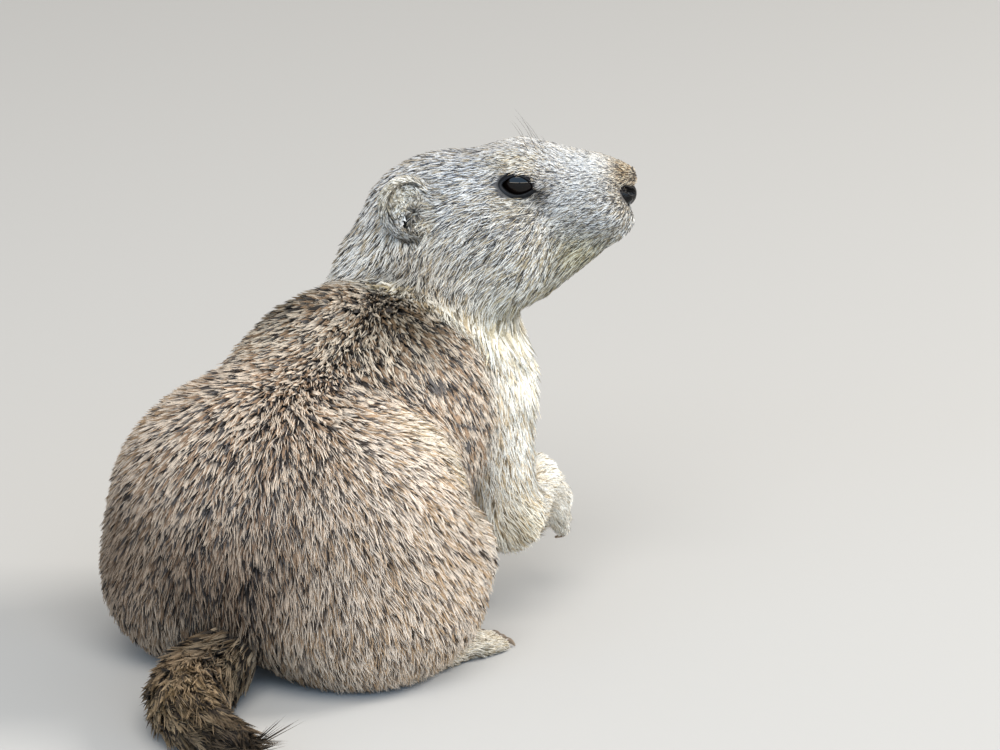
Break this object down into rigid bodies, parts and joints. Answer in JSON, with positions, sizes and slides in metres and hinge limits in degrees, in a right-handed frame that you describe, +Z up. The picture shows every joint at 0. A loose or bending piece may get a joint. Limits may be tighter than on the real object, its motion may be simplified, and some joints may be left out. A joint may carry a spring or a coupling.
{
  "type": "alpine marmot model",
  "caption": "Life-size still model of a young alpine marmot sitting on its haunches, forepaws held low, head turned to its right.",
  "frame": {"origin": "middle of the model's bounding box, on the floor it sits on", "axes": "+Z up, -Y the way the chest faces, +X the animal's left side"},
  "size_m": [0.1324, 0.2532, 0.1728],
  "materials": {
    "coat_grey": "short grey fur with cream tips",
    "coat_brown": "banded fur, slate at the root and tan at the tip",
    "coat_pale": "short cream fur",
    "coat_dark": "long dark brown fur",
    "nose_skin": "bare damp black skin",
    "eye_wet": "wet and clear over a near-black iris"
  },
  "bodies": {
    "root": {"head": "coat_grey", "nose": "nose_skin", "neck": "coat_grey", "torso": "coat_brown", "tail": "coat_dark", "eye_left": "eye_wet", "ear_left": "coat_grey", "foreleg_left": "coat_pale", "forepaw_left": "coat_pale", "hindleg_left": "coat_brown", "hindfoot_left": "coat_pale", "eye_right": "eye_wet", "ear_right": "coat_grey", "foreleg_right": "coat_pale", "forepaw_right": "coat_pale", "hindleg_right": "coat_brown", "hindfoot_right": "coat_pale"}
  },
  "joints": []
}
